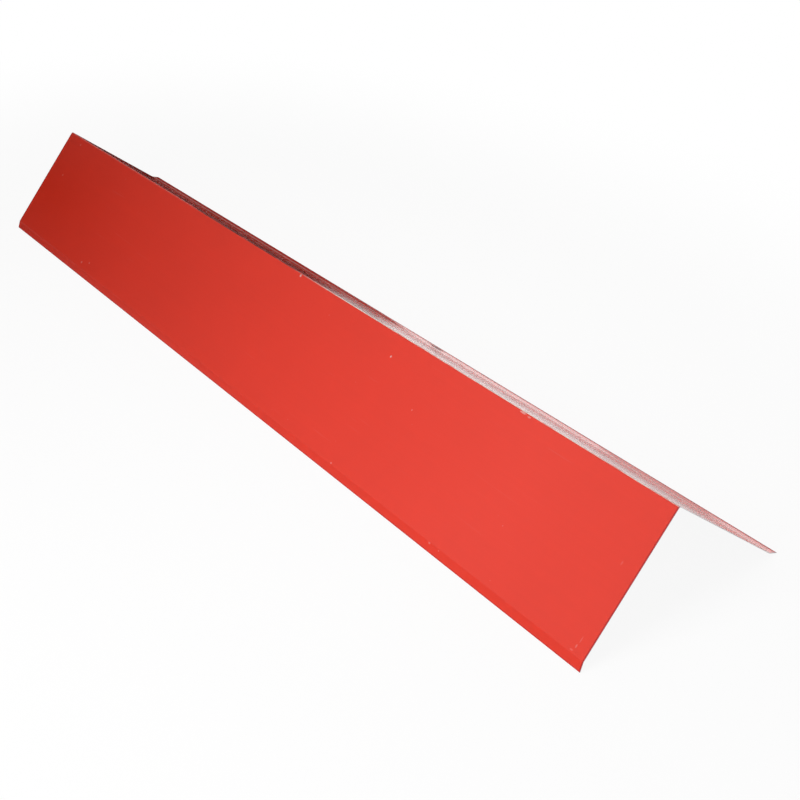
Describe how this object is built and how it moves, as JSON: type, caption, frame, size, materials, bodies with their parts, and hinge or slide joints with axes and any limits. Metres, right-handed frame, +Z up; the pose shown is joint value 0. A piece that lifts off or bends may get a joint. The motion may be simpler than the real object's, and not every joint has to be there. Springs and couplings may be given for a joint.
{
  "type": "drip flashing",
  "caption": "Length of folded coated steel sheet with two legs, a stiffening lip on the roof leg and a kicked-out drip lip, for eaves and roof edges.",
  "frame": {"origin": "middle of the footprint, on the floor that both long edges stand on", "axes": "+X along the fold, +Y from the roof leg to the drip leg, +Z up to the fold"},
  "size_m": [1.25, 0.2294, 0.1103],
  "materials": {
    "coated_sheet": "satin"
  },
  "bodies": {
    "root": {"flashing": "coated_sheet"}
  },
  "joints": []
}
